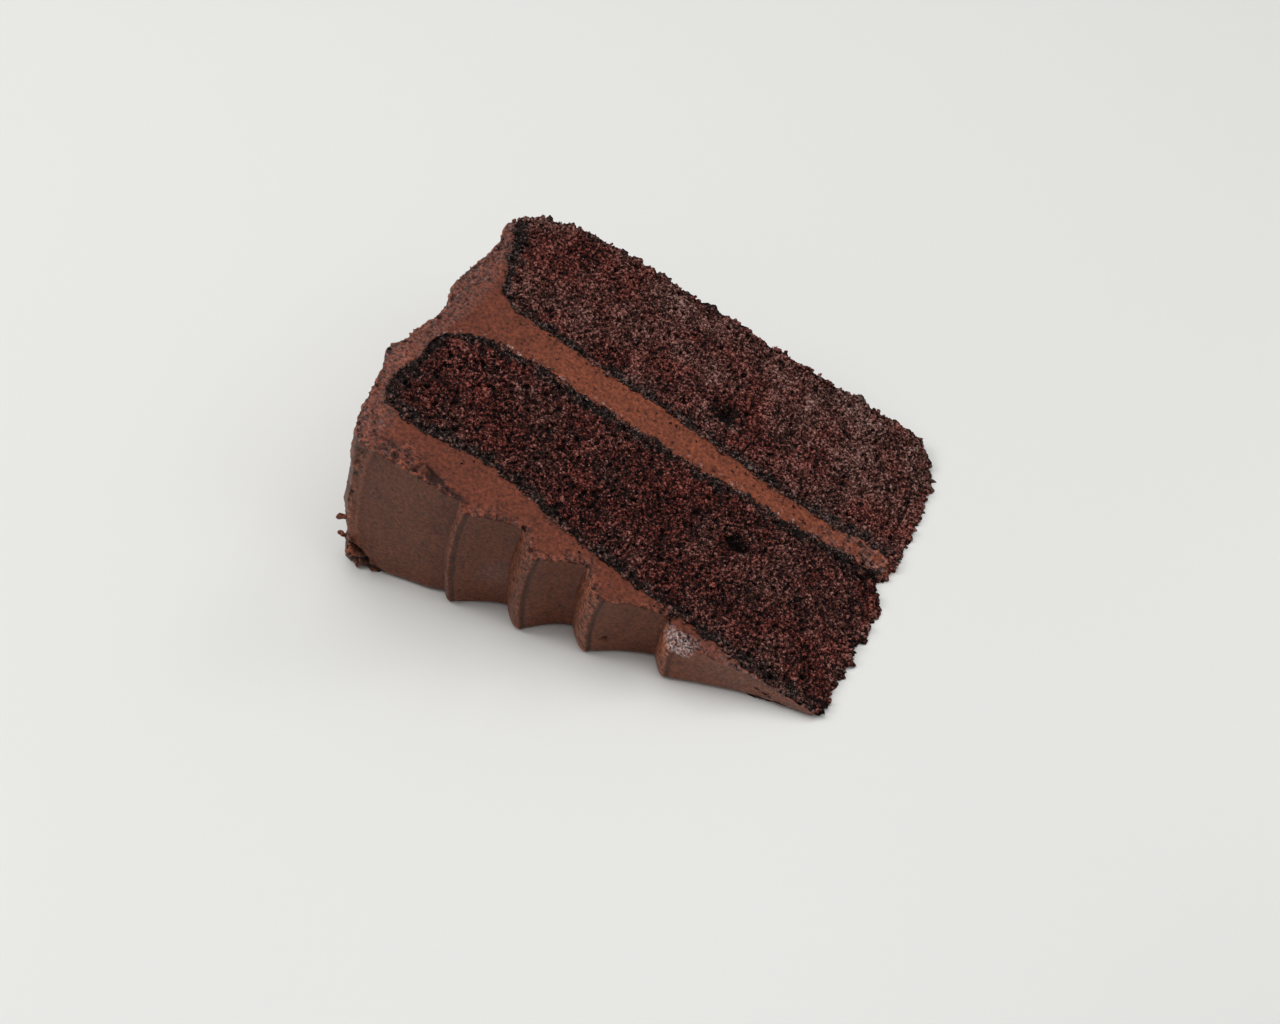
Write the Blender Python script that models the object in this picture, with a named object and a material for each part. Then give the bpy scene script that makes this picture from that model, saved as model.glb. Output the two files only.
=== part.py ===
"""Slice of a round two-layer chocolate cake, lying on its lower cut face.

The cake is described by its section: rho is the distance from the cake's axis
and h the height above its base, both in millimetres. Each layer is a strip of
that section, swept round the axis through the angle of the slice. The slice
then lies on one cut: the rim points to -X, the tip to +X and the swirled top
to -Y, with the axis of the whole cake along Y at the tip.
"""
import math

import bmesh
import bpy
from mathutils import Vector, noise

MM = 0.001

# The slice as a whole
SLICE_ANGLE = math.radians(21.7)     # about a sixteenth of the cake
ANGLE_STEPS = 7                      # facets from the lower cut to the upper cut
TIP_RADIUS = 3.2                     # the point is blunt, this far from the axis
CENTRE_RHO = 66.05                   # the middle of the slice, tip to rim
CENTRE_H = 48.3                      # the middle of the slice, base to swirls
SEAM_GAP = 0.3                       # left open between one layer and the next

# Height of each seam above the cake's base, from the tip out to the rim
BASE_LINE = ((3.2, 1.2), (60, 0.9), (104, 0.2), (112, 0.8), (118.5, 3.2), (123.8, 7.0),
             (126.9, 11.0))
FILLING_UNDERSIDE = ((3.2, 40.4), (26, 42.0), (40, 41.4), (62, 39.2), (95, 37.8),
                     (111.2, 36.4), (116.2, 35.0), (119.6, 32.3))
FILLING_TOP = ((3.2, 47.2), (28, 48.0), (60, 48.6), (90, 48.0), (108.4, 47.6),
               (118.4, 49.6), (123.3, 53.2), (126.0, 58.7))
SPONGE_TOP_LINE = ((3.2, 91.3), (18, 92.0), (37.4, 89.8), (60.6, 87.5), (75, 85.2),
                   (91, 81.4), (100, 80.6), (115.2, 82.0), (126.0, 80.2))

# How far each layer reaches towards the rim, by height above the base
SPONGE_BOTTOM_END = ((11.0, 126.9), (18.0, 124.2), (24.9, 121.8), (32.3, 119.6))
FILLING_END = ((32.3, 119.6), (42.0, 121.0), (50.0, 123.4), (58.7, 126.0))
SPONGE_TOP_END = ((58.7, 126.0), (63.8, 125.6), (71.0, 127.4), (77.0, 127.6), (80.2, 126.0))
RIM_LINE = ((12.3, 128.2), (20, 127.0), (34, 129.2), (48, 128.6), (60, 130.4),
            (74, 130.9), (84, 129.6), (92.2, 127.6))

# Swirl on the top: rings that step up towards the tip, each sagging to the next
RING_CRESTS = ((96.6, 96.0), (77.6, 96.9), (60.4, 96.8), (40.8, 96.2))    # rho, h
RING_FEET = ((83.4, 91.3), (66.5, 90.9), (45.0, 91.2), (18.0, 92.9))      # rho, h
LIP_START = 99.0                     # the first ring's lip rises from the flat here
FLAT_HEIGHT = 94.0                   # flat ring round the edge of the top
FLAT_END = 124.6                     # where the flat turns over into the rim
RING_SAG = 1.6                       # how hollow a ring is, as a power
TOP_AT_TIP = 93.0

# Torn and worn places
CORNER_WEAR = 7.5                    # base corner at the tip, crumbled back
CORNER_WEAR_HEIGHT = 15.0
NOTCH_DEPTH = 3.8                    # gap between filling and upper sponge at the tip
NOTCH_HEIGHT = 50.3
NOTCH_WIDTH = 2.6
TIP_STRETCH = 26.0                   # the worn tip is taken up over this radius
BULGE = 2.3                          # lump of frosting on the rim by the upper cut
BULGE_HEIGHT = 66.5
BULGE_SPREAD = 3.6
TORN_DEPTH = 2.8                     # torn edge of the top by the lower cut
HOLES = ((55.0, 29.5, "sponge_bottom"), (38.6, 62.5, "sponge_top"))        # rho, h
HOLE_RADIUS = 2.8
HOLE_DEPTH = 2.6

# Crumb and smears
CRUMB_PITCH = 3.1
CUT_RELIEF = {"sponge_bottom": 1.5, "sponge_top": 1.5, "filling": 0.3, "frosting": 0.6}
RAGGED = {"sponge_bottom": 2.4, "sponge_top": 2.4, "filling": 1.0, "frosting": 0.6}
BASE_RAGGED = 1.8
RIM_WAVES = 0.9
RIM_FLATNESS = 1.3                   # the rim is flatter than a true arc, at the middle
RIM_WAVE_PITCH = 9.0
TOP_WAVES = 0.15
SEAM_WAVES = 0.35
SEAM_WAVE_PITCH = 11.0

COLOURS = {
    "sponge_bottom": (0x43, 0x24, 0x20),
    "sponge_top": (0x40, 0x22, 0x1e),
    "filling": (0x78, 0x45, 0x36),
    "frosting": (0x58, 0x39, 0x2f),
}
ROUGHNESS = {"sponge_bottom": 0.9, "sponge_top": 0.9, "filling": 0.55, "frosting": 0.45}

# Steps along and across each layer
LONGEST_STEP = 3.0
ACROSS = {"sponge_bottom": 12, "filling": 4, "sponge_top": 11, "frosting": 3}


def through(points, x):
    """Smooth height at x of a curve through a few points."""
    last = len(points) - 1
    x = min(max(x, points[0][0]), points[last][0])
    i = next(n for n in range(last) if x <= points[n + 1][0])

    def slope(n):
        a, b = points[max(n - 1, 0)], points[min(n + 1, last)]
        return (b[1] - a[1]) / (b[0] - a[0])

    (x0, y0), (x1, y1) = points[i], points[i + 1]
    width = x1 - x0
    t = (x - x0) / width
    return (
        y0 * (1 + 2 * t) * (1 - t) ** 2
        + slope(i) * width * t * (1 - t) ** 2
        + y1 * t * t * (3 - 2 * t)
        + slope(i + 1) * width * t * t * (t - 1)
    )


def bump(distance, spread):
    """Smooth hill, 1 in the middle and near 0 at twice the spread."""
    return math.exp(-((distance / spread) ** 2))


def rough(x, y, z, pitch):
    """Repeatable unevenness between -1 and 1, with hills about a pitch apart."""
    return noise.noise(Vector((x, y, z)) / pitch)


def swirl_height(rho):
    """Height of the frosted top at a distance from the cake's axis."""
    if rho >= LIP_START:
        turn = max(0.0, rho - FLAT_END) / (RIM_LINE[-1][1] - FLAT_END)
        return FLAT_HEIGHT - (FLAT_HEIGHT - RIM_LINE[-1][0]) * turn * turn
    outer, outer_height = LIP_START, FLAT_HEIGHT
    for (crest, crest_height), (foot, foot_height) in zip(RING_CRESTS, RING_FEET):
        if rho >= crest:
            rise = (outer - rho) / (outer - crest)
            return outer_height + (crest_height - outer_height) * math.sin(rise * math.pi / 2)
        if rho >= foot:
            across = (rho - foot) / (crest - foot)
            return foot_height + (crest_height - foot_height) * across ** RING_SAG
        outer, outer_height = foot, foot_height
    return outer_height + (TOP_AT_TIP - outer_height) * (outer - rho) / outer


def stations():
    """Fractions from tip to rim where the section is taken, on each crest and foot."""
    marks = {TIP_RADIUS, LIP_START, FLAT_END, SPONGE_TOP_LINE[-1][0]}
    marks |= {crest for crest, _ in RING_CRESTS} | {foot for foot, _ in RING_FEET}
    marks = sorted(marks)
    places = [TIP_RADIUS]
    for a, b in zip(marks, marks[1:]):
        steps = math.ceil((b - a) / LONGEST_STEP)
        places += [a + (b - a) * n / steps for n in range(1, steps + 1)]
    reach = places[-1] - TIP_RADIUS
    return [(place - TIP_RADIUS) / reach for place in places]


ALONG = stations()


def along_seam(line, i):
    """Point of a seam at a station, which both layers there share."""
    rho = TIP_RADIUS + (line[-1][0] - TIP_RADIUS) * ALONG[i]
    return Vector((rho, through(line, rho)))


def along_end(line, part):
    """Point on the rim end of a layer, part of the way up."""
    h = line[0][0] + (line[-1][0] - line[0][0]) * part
    return Vector((through(line, h), h))


def layer_section(under, over, end, across):
    """Section of a layer: i counts from tip to rim, j from its underside to its top."""
    last = len(ALONG) - 1

    def point(i, j):
        part = j / across
        ruled = along_seam(under, i).lerp(along_seam(over, i), part)
        straight = along_seam(under, last).lerp(along_seam(over, last), part)
        near_rim = max(0.0, (ALONG[i] - 0.8) / 0.2) ** 2
        return ruled + (along_end(end, part) - straight) * near_rim

    return point, last, across


def frosting_section(across):
    """Section of the coat: i counts from tip to rim and down the rim, j from in to out."""
    ends = ((SPONGE_TOP_END, ACROSS["sponge_top"]), (FILLING_END, ACROSS["filling"]),
            (SPONGE_BOTTOM_END, ACROSS["sponge_bottom"]))
    inner = [along_seam(SPONGE_TOP_LINE, i) for i in range(len(ALONG))]
    for line, count in ends:
        inner += [along_end(line, 1 - n / count) for n in range(1, count + 1)]
    corner, last = len(ALONG) - 1, len(inner) - 1
    outer = [Vector((p.x, swirl_height(p.x))) for p in inner[:corner]]
    top, bottom = RIM_LINE[-1][0], RIM_LINE[0][0]
    for i in range(corner, last + 1):
        part = (inner[corner].y - inner[i].y) / (inner[corner].y - inner[last].y)
        h = top + (bottom - top) * part
        outer.append(Vector((through(RIM_LINE, h), h)))

    def point(i, j):
        return inner[i].lerp(outer[i], j / across)

    return point, last, across


SECTIONS = {
    "sponge_bottom": layer_section(BASE_LINE, FILLING_UNDERSIDE, SPONGE_BOTTOM_END,
                                   ACROSS["sponge_bottom"]),
    "filling": layer_section(FILLING_UNDERSIDE, FILLING_TOP, FILLING_END, ACROSS["filling"]),
    "sponge_top": layer_section(FILLING_TOP, SPONGE_TOP_LINE, SPONGE_TOP_END,
                                ACROSS["sponge_top"]),
    "frosting": frosting_section(ACROSS["frosting"]),
}
# Which sides of a layer's section lie against another layer
SEAMS = {
    "sponge_bottom": {"over", "end"},
    "filling": {"under", "over", "end"},
    "sponge_top": {"under", "over", "end"},
    "frosting": {"under"},
}


def inward(point, i, j, last, across, side):
    """Unit direction from one side of a section into it."""
    if side == "end":
        a, b = point(last, max(j - 1, 0)), point(last, min(j + 1, across))
        run = (b - a).normalized()
        return Vector((-run.y, run.x))
    a, b = point(max(i - 1, 0), j), point(min(i + 1, last), j)
    run = (b - a).normalized()
    return Vector((-run.y, run.x)) if side == "under" else Vector((run.y, -run.x))


def section_point(name, i, j):
    """Point of a layer's section, drawn back from its seams by half the gap."""
    point, last, across = SECTIONS[name]
    place = point(i, j)
    sides = {"under": j == 0, "over": j == across, "end": i == last}
    for side in sorted(SEAMS[name]):
        if sides[side]:
            place = place + inward(point, i, j, last, across, side) * (SEAM_GAP / 2)
    return place


def worn_tip(h, turn):
    """How far the point has crumbled back at a height above the base."""
    corner = CORNER_WEAR * max(0.0, 1 - h / CORNER_WEAR_HEIGHT) ** 1.5
    notch = NOTCH_DEPTH * bump(h - NOTCH_HEIGHT, NOTCH_WIDTH)
    near_top = 2.0 * max(0.0, (h - 55) / 38)
    return corner + notch + near_top + 0.8 * rough(h, 9 * turn, 4, 4.5)


def weathered(name, place, turn, outer, base):
    """The same point after slumping, tearing and crumbling; turn is 0 to 1 up the slice."""
    rho, h = place
    wave = SEAM_WAVES * rough(rho, 30 * turn, 7, SEAM_WAVE_PITCH) * min(1.0, h / 20)
    h += wave * (0 if outer else 1)
    if rho < TIP_STRETCH:
        nearness = (TIP_STRETCH - rho) / (TIP_STRETCH - TIP_RADIUS)
        rho += worn_tip(h, turn) * nearness
    if base:
        edge = 0.35 + 0.65 * turn ** 3
        h += BASE_RAGGED * edge * rough(rho, 25 * turn, 2, 4.0)
    if outer and rho > FLAT_END:
        rho += RIM_WAVES * rough(h, 45 * turn, 5, RIM_WAVE_PITCH)
        rho -= RIM_FLATNESS * math.sin(math.pi * turn)
        rho += BULGE * bump(h - BULGE_HEIGHT, BULGE_SPREAD) * bump(1 - turn, 0.3)
        torn = TORN_DEPTH * bump(h - 91, 4.5) * bump(turn - 0.12, 0.25)
        rho -= torn * (0.7 + 0.5 * rough(h, 45 * turn, 3, 2.5))
    elif outer:
        h += TOP_WAVES * rough(rho, 40 * turn, 6, RIM_WAVE_PITCH)
        h -= 0.6 * TORN_DEPTH * bump(rho - 127, 5) * bump(turn - 0.1, 0.25)
    return rho, h


def cut_relief(name, rho, h, at_tip):
    """How far the upper cut stands proud of its plane, in millimetres."""
    lift = CUT_RELIEF[name] * rough(rho, h, 1, CRUMB_PITCH)
    for hole_rho, hole_h, layer in HOLES:
        if layer == name:
            lift -= HOLE_DEPTH * bump(math.hypot(rho - hole_rho, h - hole_h), HOLE_RADIUS)
    return abs(lift) if at_tip else lift


def grid_block(steps):
    """Unit cube with its faces divided into the given steps along X, Y and Z."""
    bm = bmesh.new()
    bmesh.ops.create_cube(bm, size=1)
    bmesh.ops.translate(bm, vec=(0.5, 0.5, 0.5), verts=bm.verts)
    for axis, count in enumerate(steps):
        running = [
            e for e in bm.edges if abs(e.verts[0].co[axis] - e.verts[1].co[axis]) > 0.5
        ]
        bmesh.ops.subdivide_edges(bm, edges=running, cuts=count - 1)
    return bm


def make_material(name):
    material = bpy.data.materials.new(name)
    material.use_nodes = True
    shader = material.node_tree.nodes["Principled BSDF"]
    linear = [((c / 255 + 0.055) / 1.055) ** 2.4 for c in COLOURS[name]]
    shader.inputs["Base Color"].default_value = (*linear, 1)
    shader.inputs["Roughness"].default_value = ROUGHNESS[name]
    shader.inputs["Metallic"].default_value = 0
    return material


def make_layer(name):
    """One layer of the slice: its section swept from the lower cut to the upper cut."""
    _, last, across = SECTIONS[name]
    bm = grid_block((last, across, ANGLE_STEPS))
    for vertex in bm.verts:
        i = round(vertex.co.x * last)
        j = round(vertex.co.y * across)
        turn = round(vertex.co.z * ANGLE_STEPS) / ANGLE_STEPS
        outer = name == "frosting" and j == across
        base = name == "sponge_bottom" and j == 0
        rho, h = weathered(name, section_point(name, i, j), turn, outer, base)
        if i == 0:
            rho += RAGGED[name] * rough(h, 30 * turn, 8, 2.2) * (1 if 0 < j < across else 0.3)
        angle = SLICE_ANGLE * turn
        up = Vector((math.sin(angle), 0, math.cos(angle)))
        at = Vector((CENTRE_RHO - rho * math.cos(angle), CENTRE_H - h, rho * math.sin(angle)))
        if turn == 1:
            at += up * cut_relief(name, rho, h, rho < 2 * TIP_RADIUS)
        vertex.co = at * MM
    lower_cut = [f for f in bm.faces if all(abs(v.co.z) < 1e-7 for v in f.verts)]
    bmesh.ops.dissolve_faces(bm, faces=lower_cut)
    bmesh.ops.recalc_face_normals(bm, faces=bm.faces)
    mesh = bpy.data.meshes.new(name)
    bm.to_mesh(mesh)
    bm.free()
    mesh.shade_smooth()
    mesh.set_sharp_from_angle(angle=math.radians(50))
    mesh.materials.append(make_material(name))
    layer = bpy.data.objects.new(name, mesh)
    bpy.context.scene.collection.objects.link(layer)
    return layer


def main():
    for old in list(bpy.data.objects):
        bpy.data.objects.remove(old, do_unlink=True)
    for name in SECTIONS:
        make_layer(name)


main()
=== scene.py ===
import math
import random

import bmesh
import bpy
import numpy as np
from mathutils import Euler, Matrix, Vector, noise


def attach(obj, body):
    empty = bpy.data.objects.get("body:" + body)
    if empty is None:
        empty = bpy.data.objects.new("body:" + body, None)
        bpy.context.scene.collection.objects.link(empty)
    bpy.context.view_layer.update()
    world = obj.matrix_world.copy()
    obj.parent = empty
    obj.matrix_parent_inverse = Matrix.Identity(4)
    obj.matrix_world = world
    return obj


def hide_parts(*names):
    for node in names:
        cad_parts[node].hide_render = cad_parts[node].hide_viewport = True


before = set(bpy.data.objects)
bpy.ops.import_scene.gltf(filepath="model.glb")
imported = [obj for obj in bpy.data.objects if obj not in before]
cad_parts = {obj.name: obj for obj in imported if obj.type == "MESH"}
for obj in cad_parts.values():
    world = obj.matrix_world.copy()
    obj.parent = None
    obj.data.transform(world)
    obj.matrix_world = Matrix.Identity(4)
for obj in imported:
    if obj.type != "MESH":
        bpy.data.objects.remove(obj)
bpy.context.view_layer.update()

# Sponge, bottom layer.
# Dark chocolate sponge, baked in a round tin. A knife has cut the cake in narrow wedges and torn the
# open crumb into fused granules with gaps between. Its baked skin is a blackish line at the frosting.
# rho is a point's distance from the cake's axis and h its height above the base, in millimetres, and
# turn runs from the lower cut, 0, to the upper cut, 1.
MM = 0.001
FLOOR_GAP = 0.02                     # only the lower cut comes nearer to the floor
ON_EDGE = 1e-6                       # a share this near to 0 or 1 lies on the edge
SLICE_ANGLE = math.radians(21.7)     # about a sixteenth of the cake
TIP_RADIUS = 3.2                     # the point of the slice is blunt
LEAST_RADIUS = 0.6                   # and no crumb reaches the axis
CENTRE_RHO = 66.05                   # middle of the slice, tip to rim
CENTRE_H = 48.3                      # middle of the slice, base to swirls
TIP_STRETCH = 26.0                   # the crumbled point is taken up over this radius
BASE_LINE = ((3.2, 1.2), (60, 0.9), (104, 0.2), (112, 0.8), (118.5, 3.2), (123.8, 7.0),
             (126.9, 11.0))
FILLING_UNDERSIDE = ((3.2, 40.4), (26, 42.0), (40, 41.4), (62, 39.2), (95, 37.8),
                     (111.2, 36.4), (116.2, 35.0), (119.6, 32.3))
SPONGE_BOTTOM_END = ((11.0, 126.9), (18.0, 124.2), (24.9, 121.8), (32.3, 119.6))
CORNER_WEAR = 7.5                    # base corner at the tip, crumbled back
CORNER_WEAR_HEIGHT = 15.0
NOTCH_DEPTH = 3.8                    # gap between filling and upper sponge at the tip
NOTCH_HEIGHT = 50.3
NOTCH_WIDTH = 2.6
LEAN = 2.0                           # the upper layer's point has crumbled back as well
LEAN_START = 55.0
LEAN_END = 93.0
TIP_BUMPS = 0.8
TIP_BUMP_PITCH = 4.5
BASE_RAGGED = 2.4
TIP_RAGGED = 3.0
TIP_CLUMPS = ((31.5, 1.2), (42.5, 1.0), (58.0, 1.9), (67.5, 1.6))    # h, reach
CLUMP_SPREAD = 1.2
TIP_GREY = (20, 52)                  # radii up to which painted sheen greys the crumb
BASE_GREY = (80, 110)
TIP_SHEEN = 0.3
BASE_SHEEN = 0.4
SEAM_WAVES = 0.35
SEAM_WAVE_PITCH = 11.0
SPONGE_STEPS = (440, 142, 44)        # along, across and round the slice
GRANULE = 0.8                        # size of a granule of crumb
FINE_GRANULE = 0.45
MIDDLE = 0.42                        # mean distance to a granule's middle, in its own size
GAP_PITCH = 1.15
FINE_GAP_PITCH = 0.8
GAP_LEVEL = 0.08                     # gaps open where the unevenness is over this
GAP_DEPTH = 1.5
INTERLOCK = 0.55                     # how far torn crumb and frosting run into each other
CRUST_WIDTH = 3.0
CRUST_SHARE = 0.95
BASE_CRUST_SHARE = 0.75
BASE_CRUST = (0.2, 1.3)              # heights above the base over which it fades
SPONGE_HOLE = (55.0, 29.5, 3.7)      # rho, h and radius of the large air hole
HOLE_DEPTH = 3.0
# Painted shade darkens the large air hole.
HOLE_DARKER = 0.9
HOLE_PALER = 0.5                     # its floor at one side is drawn paler, as painted light, and greyer, as painted sheen
HOLE_SHEEN = 1.2
SPONGE_TRIANGLES = 190000
SPECK = 0.66                         # sizes of the sponge's colour grains, painted sheen and painted glints, in millimetres
BIT = 0.5
SHEEN_SPOT = 1.1
SHEEN_PATCH = 13.0
SPARKLE = 0.42
SPECK_CONTRAST = 4.8
TONE_SHIFT = -2.22                   # brings the specks' mean back to the stored tone
GRANULE_TONE = 0.28                  # how far granules differ in tone, and bits in a granule, whose edges are darkened as painted shade
BIT_TONE = -0.35
SHEEN_LEVELS = (2.05, 3.1)
SPOT_SHEEN = 1.6
PATCH_SHEEN = 2.4
# Painted highlights: pale specks mixed into the crumb's colour where the sparkle noise is high.
GLINT_LEVELS = (0.71, 0.77)
GLINT_SHARE = 0.8
CRUMB_BUMP = 0.25
# Crumb colours by stored tone: the dark end is painted shade in sunk crumb and gaps, the light end
# painted light on raised granules.
SPONGE_COLOURS = ((0.07, "#090303"), (0.32, "#270c0a"), (0.53, "#522019"), (0.76, "#7d382e"),
                  (1.0, "#a5655a"))
# Greyer crumb colours: painted sheen, as smoothed crumb reflects the lights.
PAINTED_SHEEN_COLOURS = ((0.05, "#0f0605"), (0.3, "#351e1a"), (0.52, "#5c3a32"), (0.75, "#815a50"),
                   (1.0, "#b09690"))
CRUST_COLOURS = ((0.1, "#080504"), (0.5, "#1f1714"), (0.8, "#3e312d"), (1.0, "#74645f"))
GLINT_COLOUR = "#b3a29d"


def through(points, x):
    """Smooth curve through a few points, read at x."""
    px, py = np.array(points, float).T
    slope = np.gradient(py, px)
    slope[1:-1] = (py[2:] - py[:-2]) / (px[2:] - px[:-2])
    x = np.clip(x, px[0], px[-1])
    i = np.clip(np.searchsorted(px, x, side="right") - 1, 0, len(px) - 2)
    width = px[i + 1] - px[i]
    t = (x - px[i]) / width
    start = py[i] * (1 + 2 * t) * (1 - t) ** 2 + slope[i] * width * t * (1 - t) ** 2
    return start + py[i + 1] * t * t * (3 - 2 * t) + slope[i + 1] * width * t * t * (t - 1)


def hill(distance, spread):
    """Smooth hill, 1 in the middle and near 0 at twice the spread."""
    return np.exp(-((distance / spread) ** 2))


def ramp(value, low, high):
    """0 below low, 1 above high, and smooth between."""
    t = np.clip((value - low) / (high - low), 0, 1)
    return t * t * (3 - 2 * t)


def rough(points, pitch, seed=0):
    """Unevenness between -1 and 1, with hills about a pitch apart.

    The seed, and what stands beside a point's own places, pick which part of it is read.
    """
    return np.array([noise.noise(p) for p in (points / pitch + seed).tolist()])


def bends(points, pitch):
    """A sideways push for each point, which differs in x, y and z."""
    return stacked(*(rough(points, pitch, seed) for seed in (11, 23, 37)))


def stacked(*columns):
    """One row for each point, from its values column by column."""
    return np.stack(np.broadcast_arrays(*columns), axis=1).astype(float)


def placed(rho, h, turn):
    """Where a point of the cake lies in the slice's frame, in millimetres."""
    angle = SLICE_ANGLE * turn
    return stacked(CENTRE_RHO - rho * np.cos(angle), CENTRE_H - h, rho * np.sin(angle))


def seam(line, along):
    """Point of the line where two pieces meet, at a share of the way from tip to rim."""
    rho = TIP_RADIUS + (line[-1][0] - TIP_RADIUS) * along
    return rho, through(line, rho)


def layer_section(under, over, end, along, across):
    """Point of a layer's section: along from tip to rim, across from its underside to its top."""
    def ruled(at):
        (rho0, h0), (rho1, h1) = seam(under, at), seam(over, at)
        return rho0 + (rho1 - rho0) * across, h0 + (h1 - h0) * across

    rho, h = ruled(along)
    end_rho, end_h = ruled(1.0)
    rounded_h = end[0][0] + (end[-1][0] - end[0][0]) * across
    near_rim = np.clip((along - 0.8) / 0.2, 0, 1) ** 2
    rho = rho + (through(end, rounded_h) - end_rho) * near_rim
    return rho, h + (rounded_h - end_h) * near_rim


def seam_wave(rho, h, turn):
    """Slow waves of the layers' faces, which fade out at the base."""
    waves = rough(stacked(rho, 30 * turn, 7), SEAM_WAVE_PITCH)
    return SEAM_WAVES * waves * np.clip(h / 20, 0, 1)


def crumble(rho, h, turn):
    """Wear the point of the slice back, as its corner and its notch have crumbled."""
    near = np.clip((TIP_STRETCH - rho) / (TIP_STRETCH - TIP_RADIUS), 0, 1)
    back = CORNER_WEAR * np.clip(1 - h / CORNER_WEAR_HEIGHT, 0, 1) ** 1.5
    back += NOTCH_DEPTH * hill(h - NOTCH_HEIGHT, NOTCH_WIDTH)
    back += LEAN * np.clip((h - LEAN_START) / (LEAN_END - LEAN_START), 0, 1)
    back += TIP_BUMPS * rough(stacked(h, 9 * turn, 4), TIP_BUMP_PITCH)
    return rho + back * near


def points_of(mesh):
    """The mesh's points, one row each."""
    at = np.empty(len(mesh.vertices) * 3, np.float32)
    mesh.vertices.foreach_get("co", at)
    return at.reshape(-1, 3).astype(float)


def block(steps, spacing):
    """Closed block with gridded faces, and its points as shares along, across and round.

    A spacing above 1 draws the rows together towards the upper cut.
    """
    bm = bmesh.new()
    bmesh.ops.create_cube(bm, size=1)
    bmesh.ops.translate(bm, vec=(0.5, 0.5, 0.5), verts=bm.verts)
    for axis, count in enumerate(steps):
        running = [e for e in bm.edges if abs(e.verts[0].co[axis] - e.verts[1].co[axis]) > 0.5]
        bmesh.ops.subdivide_edges(bm, edges=running, cuts=count - 1)
    mesh = bpy.data.meshes.new("block")
    bm.to_mesh(mesh)
    bm.free()
    along, across, upward = points_of(mesh).T
    return mesh, along, across, 1 - (1 - upward) ** spacing


def moved(mesh, at):
    """Put the mesh's points at the given places, in millimetres."""
    mesh.vertices.foreach_set("co", (at * MM).astype(np.float32).ravel())
    mesh.update()


def outward(mesh, cut):
    """Outward direction at each point; on the upper cut it is square to the knife's plane."""
    normals = np.empty(len(mesh.vertices) * 3, np.float32)
    mesh.vertex_normals.foreach_get("vector", normals)
    normals = normals.reshape(-1, 3).astype(float)
    normals[cut] = (math.sin(SLICE_ANGLE), 0, math.cos(SLICE_ANGLE))
    return normals


def face_outward(mesh):
    """Turn every face to the outside."""
    bm = bmesh.new()
    bm.from_mesh(mesh)
    bmesh.ops.recalc_face_normals(bm, faces=bm.faces)
    bm.to_mesh(mesh)
    bm.free()


def crease(mesh, inside):
    """Keep the edges sharp where a face whose points are all inside meets one that isn't."""
    ends = np.empty(len(mesh.edges) * 2, np.int32)
    mesh.edges.foreach_get("vertices", ends)
    sharp = inside[ends.reshape(-1, 2)].all(axis=1)
    mesh.attributes.new("sharp_edge", "BOOLEAN", "EDGE").data.foreach_set("value", sharp)


def store(mesh, name, values):
    """Keep one value for each point, for the material to read."""
    layer = mesh.attributes.new(name, "FLOAT", "POINT")
    layer.data.foreach_set("value", np.broadcast_to(values, len(mesh.vertices)).astype(np.float32))


def granules(points, size, seed=0):
    """Distance to the nearest granule's middle, 0 to about 1, and a value of its own for each."""
    near = [noise.voronoi(p) for p in (points / size + seed).tolist()]
    distance = np.array([n[0][0] for n in near])
    own = np.array([noise.noise(n[1][0] * 7.3) for n in near])
    return distance, own


def crumb_relief(points):
    """Height of torn crumb over its mean, in millimetres, and a value for each granule."""
    bent = points + 0.6 * bends(points, 1.3)
    coarse, own = granules(bent, GRANULE)
    fine, _ = granules(bent, FINE_GRANULE, 5)
    gaps = np.clip(rough(bent, GAP_PITCH, 51) - GAP_LEVEL, 0, 1)
    gaps += 0.7 * np.clip(rough(points, FINE_GAP_PITCH, 57) - GAP_LEVEL, 0, 1)
    slow = 0.35 * rough(points, 6.0, 91) + 0.3 * rough(points, 2.6, 93)
    grains = 0.65 * (MIDDLE - coarse) + 0.42 * (MIDDLE - fine)
    return grains - GAP_DEPTH * gaps + slow + 0.25, own


def as_piece(name, mesh):
    """Object of its own for a finished mesh."""
    piece = bpy.data.objects.new(name, mesh)
    mesh.name = name
    bpy.context.scene.collection.objects.link(piece)
    return piece


def thin_hidden(piece, hidden, triangles):
    """Join up the small faces where the piece lies against another or on the floor."""
    group = piece.vertex_groups.new(name="hidden")
    group.add(np.flatnonzero(hidden).tolist(), 1.0, "REPLACE")
    thin = piece.modifiers.new("thin", "DECIMATE")
    thin.ratio = triangles / sum(len(p.vertices) - 2 for p in piece.data.polygons)
    thin.vertex_group = "hidden"
    graph = bpy.context.evaluated_depsgraph_get()
    lighter = bpy.data.meshes.new_from_object(piece.evaluated_get(graph))
    piece.modifiers.clear()
    piece.vertex_groups.clear()
    old, piece.data = piece.data, lighter
    name = old.name
    bpy.data.meshes.remove(old)
    lighter.name = name


def linear(colour):
    """Linear colour of an sRGB hex value."""
    parts = [int(colour[i:i + 2], 16) / 255 for i in (1, 3, 5)]
    return [c / 12.92 if c <= 0.04045 else ((c + 0.055) / 1.055) ** 2.4 for c in parts] + [1.0]


def add_node(tree, kind, settings=None, links=None):
    """Add a node with its properties, its input values and its links."""
    node = tree.nodes.new(kind)
    for key, value in (settings or {}).items():
        if isinstance(key, str) and hasattr(node, key):
            setattr(node, key, value)
        else:
            node.inputs[key].default_value = value
    for key, socket in (links or {}).items():
        tree.links.new(socket, node.inputs[key])
    return node


def fill_ramp(node, stops):
    """Colours along a ramp, each with its place from 0 to 1."""
    elements = node.color_ramp.elements
    while len(elements) < len(stops):
        elements.new(0.5)
    for element, (place, colour) in zip(elements, stops):
        element.position = place
        element.color = linear(colour)


def new_material(name):
    """Material with its node tree and its shader."""
    material = bpy.data.materials.new(name)
    material.use_nodes = True
    tree = material.node_tree
    return material, tree, tree.nodes["Principled BSDF"]


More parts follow.
